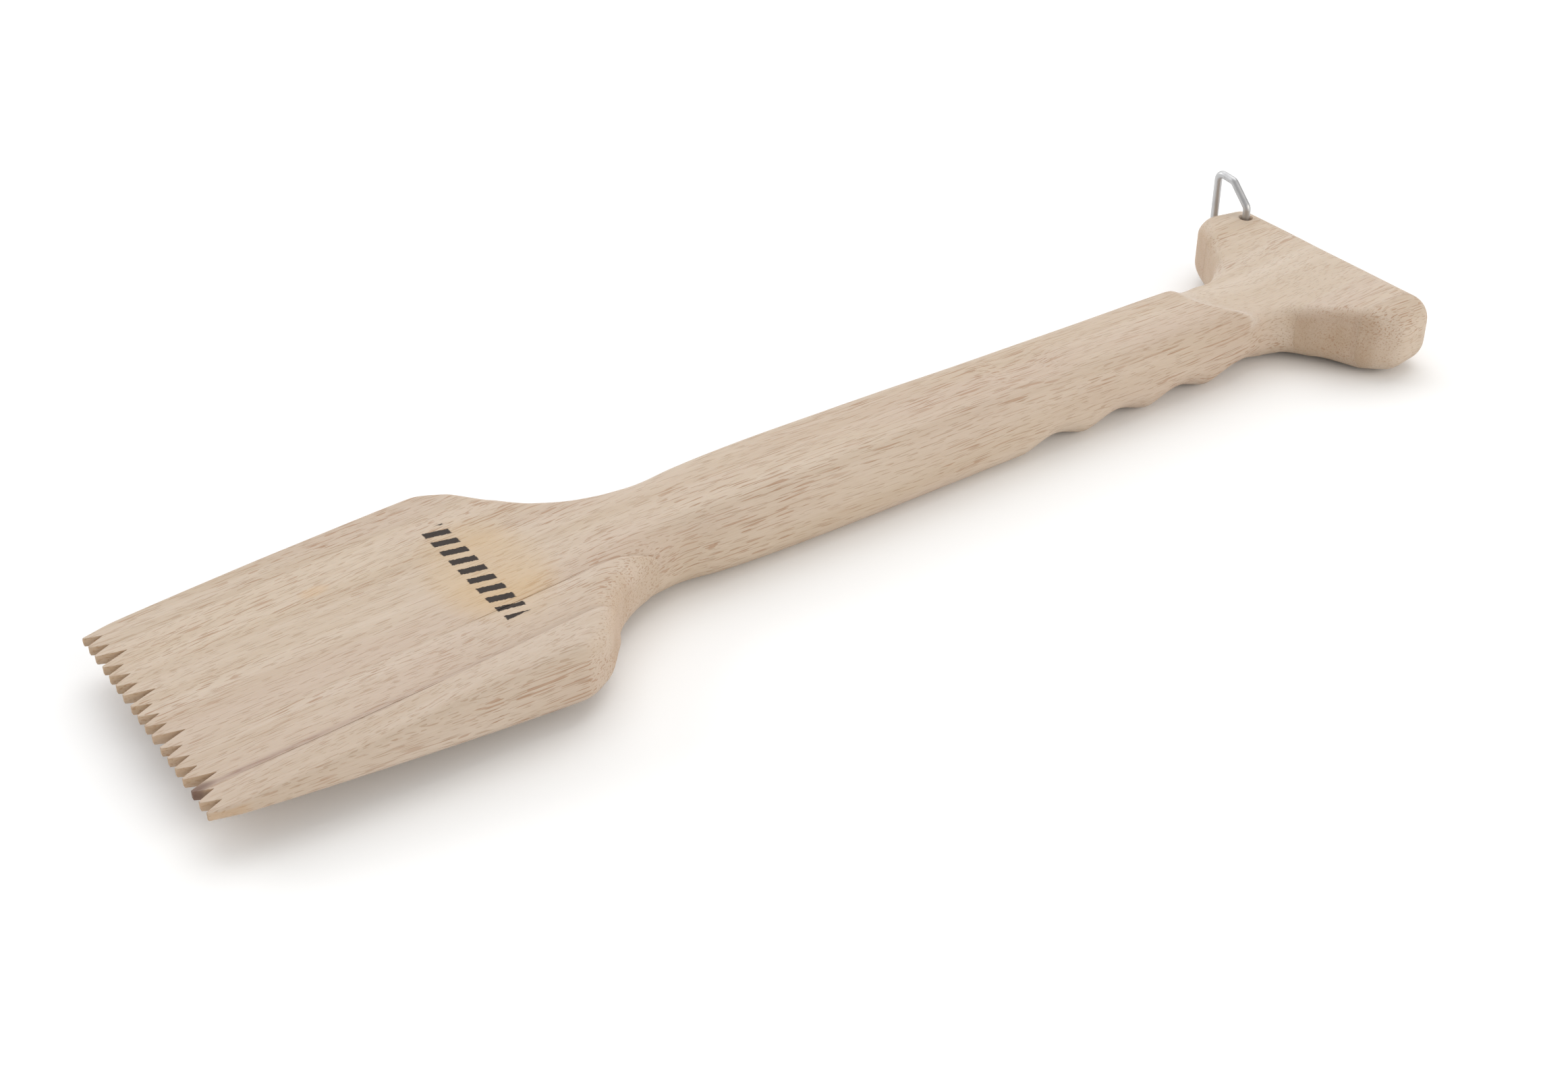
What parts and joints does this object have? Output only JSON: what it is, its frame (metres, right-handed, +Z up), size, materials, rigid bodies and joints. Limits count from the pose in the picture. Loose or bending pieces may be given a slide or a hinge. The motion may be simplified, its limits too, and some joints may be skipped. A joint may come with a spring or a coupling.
{
  "type": "wooden grill scraper",
  "caption": "Flat wooden grill scraper: a toothed wedge blade, a waisted shaft with finger grooves, a T grip and a swinging wire hanging bail.",
  "frame": {"origin": "on the flat underside of the shaft, at mid length and in the middle of the width", "axes": "+X along the tool from the blade to the grip, +Y to the left side with the bail, +Z up out of the top face"},
  "size_m": [0.45, 0.107, 0.0397],
  "materials": {
    "core_wood": "planed and lightly sanded rubberwood, unfinished, satin",
    "inner_wood": "planed and lightly sanded rubberwood, unfinished, satin",
    "outer_wood": "planed and lightly sanded rubberwood, unfinished, satin",
    "wire": "drawn steel wire, satin"
  },
  "bodies": {
    "scraper": {"core_stave": "core_wood", "blade_stave_left_inner": "inner_wood", "blade_stave_left_outer": "outer_wood", "blade_stave_right_inner": "inner_wood", "blade_stave_right_outer": "outer_wood", "grip_stave_left_inner": "inner_wood", "grip_stave_left_outer": "outer_wood", "grip_stave_right_inner": "inner_wood", "grip_stave_right_outer": "outer_wood"},
    "bail": {"hanging_bail": "wire"}
  },
  "joints": [
    {"name": "bail_swing", "type": "hinge", "parent": "scraper", "child": "bail", "pos_m": [0.215, 0.039, 0.0138], "axis": [0, 0, 1], "range_deg": [-130, 18]}
  ]
}
